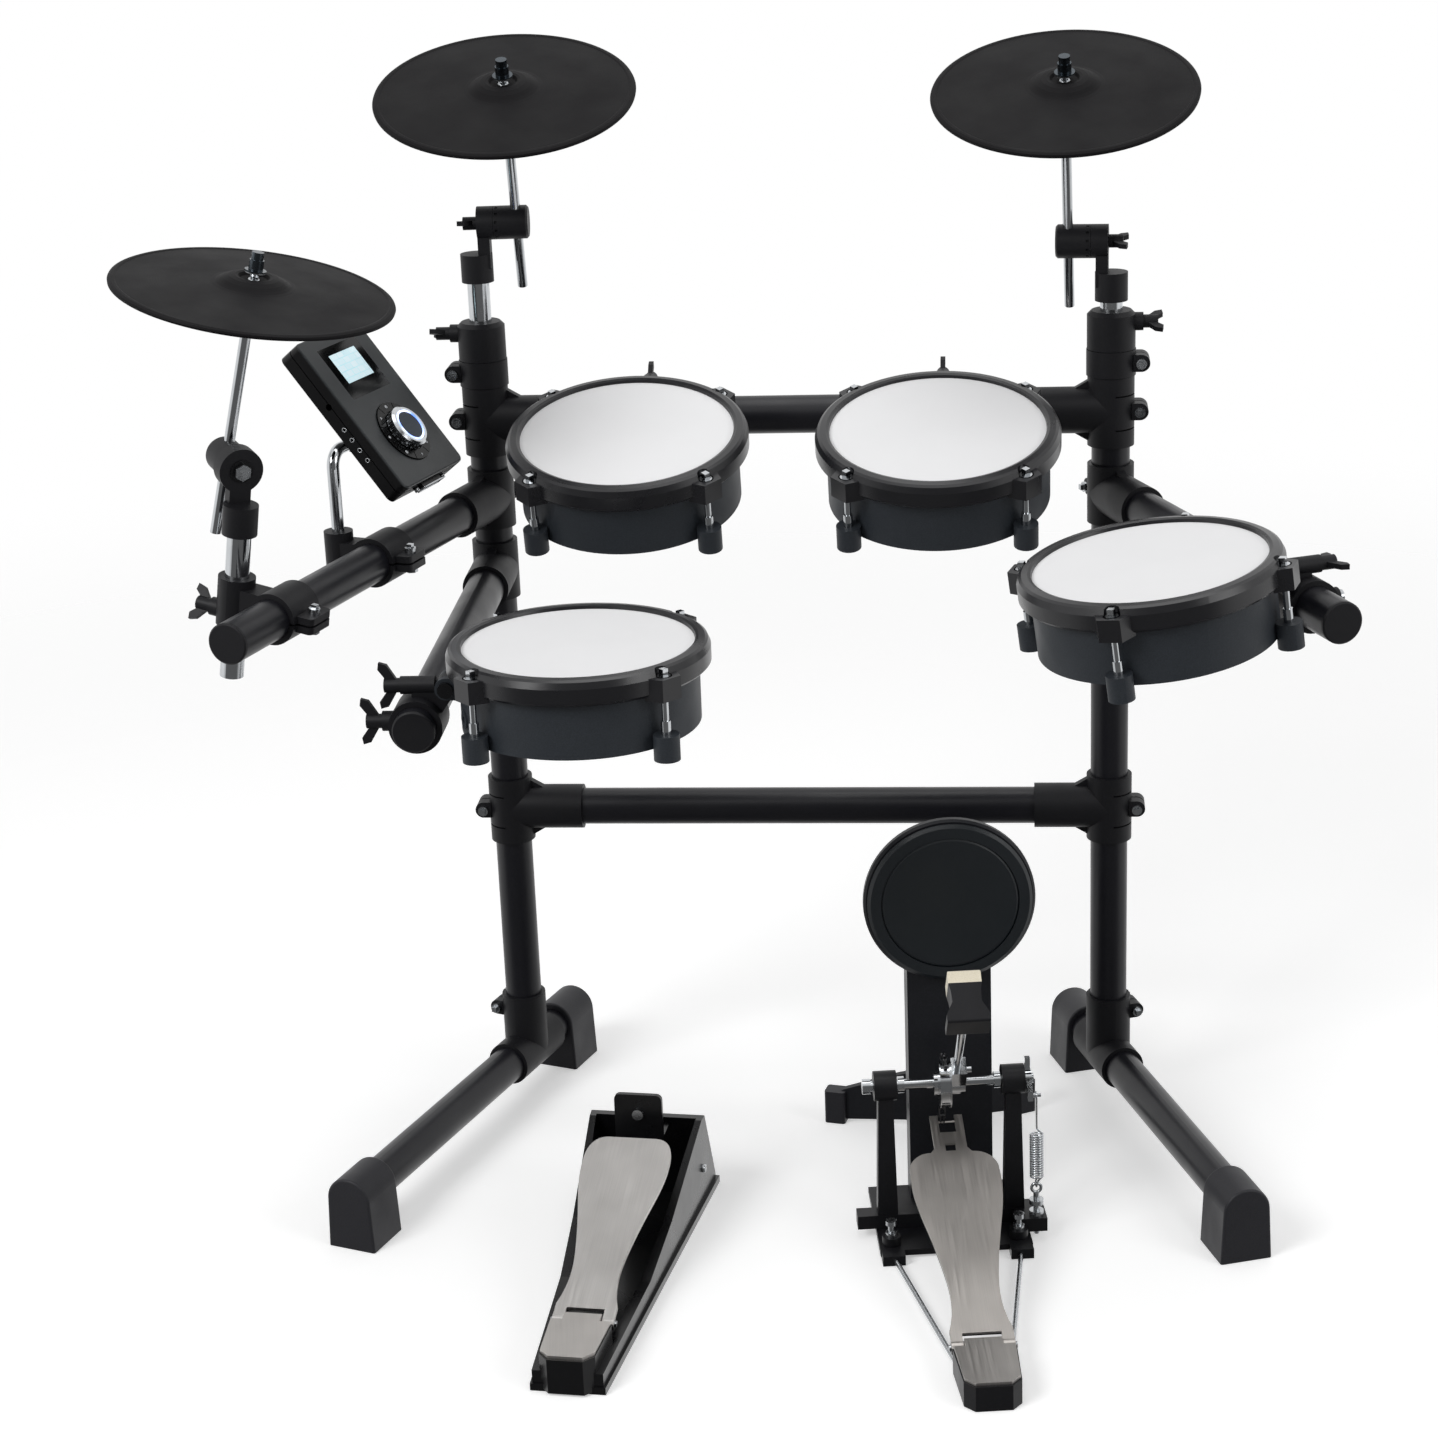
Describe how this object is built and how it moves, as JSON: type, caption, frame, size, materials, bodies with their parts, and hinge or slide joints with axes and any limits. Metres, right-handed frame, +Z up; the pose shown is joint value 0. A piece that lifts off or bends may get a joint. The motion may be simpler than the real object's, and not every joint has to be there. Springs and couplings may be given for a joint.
{
  "type": "electronic drum kit",
  "caption": "Electronic drum kit on a tube rack: mesh head pads, rubber cymbal pads, sound module, kick tower with chain pedal and beater, and hi-hat pedal.",
  "frame": {"origin": "middle of the object's bounding box, on the floor", "axes": "+Z up, +X to the right as the player sees it, +Y away from the player"},
  "size_m": [1.0912, 0.7468, 1.1226],
  "materials": {
    "black_steel": "matt black powder coat",
    "black_nylon": "moulded black nylon, fine grain",
    "black_rubber": "matt black rubber",
    "shell_plastic": "satin charcoal moulding",
    "head_mesh": "white woven mesh",
    "chrome": "bright chrome",
    "zinc": "zinc plated steel",
    "footplate": "brushed along its length",
    "cast_frame": "black coated casting",
    "case_plastic": "satin black moulding",
    "screen": "lit liquid crystal display",
    "felt": "dense beige felt"
  },
  "bodies": {
    "rack": {"uprights": "black_steel", "cross_tubes": "black_steel", "arm_tubes": "black_steel", "leg_tubes": "black_steel", "tube_caps": "black_nylon", "rubber_feet": "black_rubber", "rack_tees": "black_nylon", "tee_bolts": "zinc", "rack_clamps": "black_nylon", "wing_bolts": "black_nylon", "cymbal_posts": "chrome", "cymbal_yokes": "black_nylon", "kick_tower": "black_nylon", "kick_pad": "black_rubber", "pedal_frame": "cast_frame", "pedal_rods": "chrome", "heel_plates": "footplate", "hihat_pedal_base": "black_nylon", "module_rod": "chrome", "pedal_spring": "chrome"},
    "kick_board": {"kick_footboard": "footplate"},
    "kick_chain": {"chain_drop": "zinc"},
    "beater": {"pedal_axle": "chrome", "beater_shaft": "chrome", "beater_head": "black_nylon", "beater_felt": "felt", "chain_wrap": "zinc"},
    "hihat_board": {"hihat_footboard": "footplate"},
    "module": {"module_case": "case_plastic", "module_screen": "screen"},
    "dial": {"jog_dial": "chrome"},
    "menu": {"menu_ring": "case_plastic"},
    "snare": {"snare_shell": "shell_plastic", "snare_hoop": "black_rubber", "snare_head": "head_mesh", "snare_tension_rods": "chrome"},
    "tom_1": {"tom_1_shell": "shell_plastic", "tom_1_hoop": "black_rubber", "tom_1_head": "head_mesh", "tom_1_tension_rods": "chrome"},
    "tom_2": {"tom_2_shell": "shell_plastic", "tom_2_hoop": "black_rubber", "tom_2_head": "head_mesh", "tom_2_tension_rods": "chrome"},
    "floor_tom": {"floor_tom_shell": "shell_plastic", "floor_tom_hoop": "black_rubber", "floor_tom_head": "head_mesh", "floor_tom_tension_rods": "chrome"},
    "hihat_stand_top": {"hihat_tilter": "black_nylon", "hihat_rod": "chrome", "hihat_cymbal_nut": "chrome"},
    "hihat": {"hihat_cymbal": "black_rubber"},
    "crash_1_stand_top": {"crash_1_tilter": "black_nylon", "crash_1_rod": "chrome", "crash_1_cymbal_nut": "chrome"},
    "crash_1": {"crash_1_cymbal": "black_rubber"},
    "crash_2_stand_top": {"crash_2_tilter": "black_nylon", "crash_2_rod": "chrome", "crash_2_cymbal_nut": "chrome"},
    "crash_2": {"crash_2_cymbal": "black_rubber"}
  },
  "joints": [
    {"name": "hihat_tilt", "type": "hinge", "parent": "rack", "child": "hihat_stand_top", "pos_m": [-0.45778, -0.09561, 0.80273], "axis": [-0.5408, 0.8318, 0.1251], "range_deg": [-25, 25]},
    {"name": "hihat_rock", "type": "hinge", "parent": "hihat_stand_top", "child": "hihat", "pos_m": [-0.41962, -0.09431, 0.95914], "axis": [0.9807, 0.0133, -0.1951], "range_deg": [-9, 9], "stiffness_Nm_per_rad": 3},
    {"name": "crash_1_tilt", "type": "hinge", "parent": "rack", "child": "crash_1_stand_top", "pos_m": [-0.2411, 0.26073, 0.948], "axis": [0.9976, 0.0698, 0], "range_deg": [-25, 25]},
    {"name": "crash_1_rock", "type": "hinge", "parent": "crash_1_stand_top", "child": "crash_1", "pos_m": [-0.2377, 0.21211, 1.08563], "axis": [0.9997, 0.0082, -0.0233], "range_deg": [-9, 9], "stiffness_Nm_per_rad": 3},
    {"name": "crash_2_tilt", "type": "hinge", "parent": "rack", "child": "crash_2_stand_top", "pos_m": [0.3011, 0.26073, 0.9175], "axis": [-0.9976, 0.0698, 0], "range_deg": [-25, 25]},
    {"name": "crash_2_rock", "type": "hinge", "parent": "crash_2_stand_top", "child": "crash_2", "pos_m": [0.29719, 0.20478, 1.07586], "axis": [0.9998, -0.0071, 0.0202], "range_deg": [-9, 9], "stiffness_Nm_per_rad": 3},
    {"name": "snare_tilt", "type": "hinge", "parent": "rack", "child": "snare", "pos_m": [-0.24499, -0.21951, 0.627], "axis": [-0.0209, 0.9998, 0], "range_deg": [-15, 15]},
    {"name": "tom_1_tilt", "type": "hinge", "parent": "rack", "child": "tom_1", "pos_m": [-0.11698, 0.1998, 0.772], "axis": [1, 0, 0], "range_deg": [-15, 25]},
    {"name": "tom_2_tilt", "type": "hinge", "parent": "rack", "child": "tom_2", "pos_m": [0.17699, 0.1998, 0.772], "axis": [1, 0, 0], "range_deg": [-15, 25]},
    {"name": "floor_tom_tilt", "type": "hinge", "parent": "rack", "child": "floor_tom", "pos_m": [0.47539, -0.13125, 0.699], "axis": [0.3859, -0.9225, 0], "range_deg": [-15, 15]},
    {"name": "beater_swing", "type": "hinge", "parent": "rack", "child": "beater", "pos_m": [0.18199, -0.0442, 0.16], "axis": [0.9903, 0.1392, 0], "range_deg": [-38, 0], "stiffness_Nm_per_rad": 1, "springref_deg": 20.05, "deforming": ["pedal_spring"]},
    {"name": "kick_pedal", "type": "hinge", "parent": "rack", "child": "kick_board", "pos_m": [0.21704, -0.29356, 0.0185], "axis": [0.9903, 0.1392, 0], "range_deg": [-3.6, 0]},
    {"name": "chain_drop", "type": "hinge", "parent": "kick_board", "child": "kick_chain", "pos_m": [0.17441, -0.01901, 0.10379], "axis": [0.9903, 0.1392, 0], "range_deg": [0, 8.6]},
    {"name": "hihat_pedal", "type": "hinge", "parent": "rack", "child": "hihat_board", "pos_m": [-0.148, -0.2822, 0.0305], "axis": [0.9962, -0.0872, 0], "range_deg": [-6, 0], "stiffness_Nm_per_rad": 20, "springref_deg": 8.59},
    {"name": "module_tilt", "type": "hinge", "parent": "rack", "child": "module", "pos_m": [-0.37649, 0.11305, 0.76936], "axis": [0.2974, 0.9548, 0], "range_deg": [-12, 12]},
    {"name": "dial_turn", "type": "hinge", "parent": "module", "child": "dial", "pos_m": [-0.33663, 0.10064, 0.7766], "axis": [0.742, -0.2311, 0.6293], "continuous": true},
    {"name": "menu_press", "type": "slide", "parent": "module", "child": "menu", "axis": [0.742, -0.2311, 0.6293], "range_m": [-0.001, 0], "stiffness_N_per_m": 900, "springref_m": 0.0006}
  ],
  "couplings": [
    {"joint": "kick_pedal", "follows": "beater_swing", "ratio": 0.09359},
    {"joint": "chain_drop", "follows": "beater_swing", "ratio": -0.2222}
  ]
}
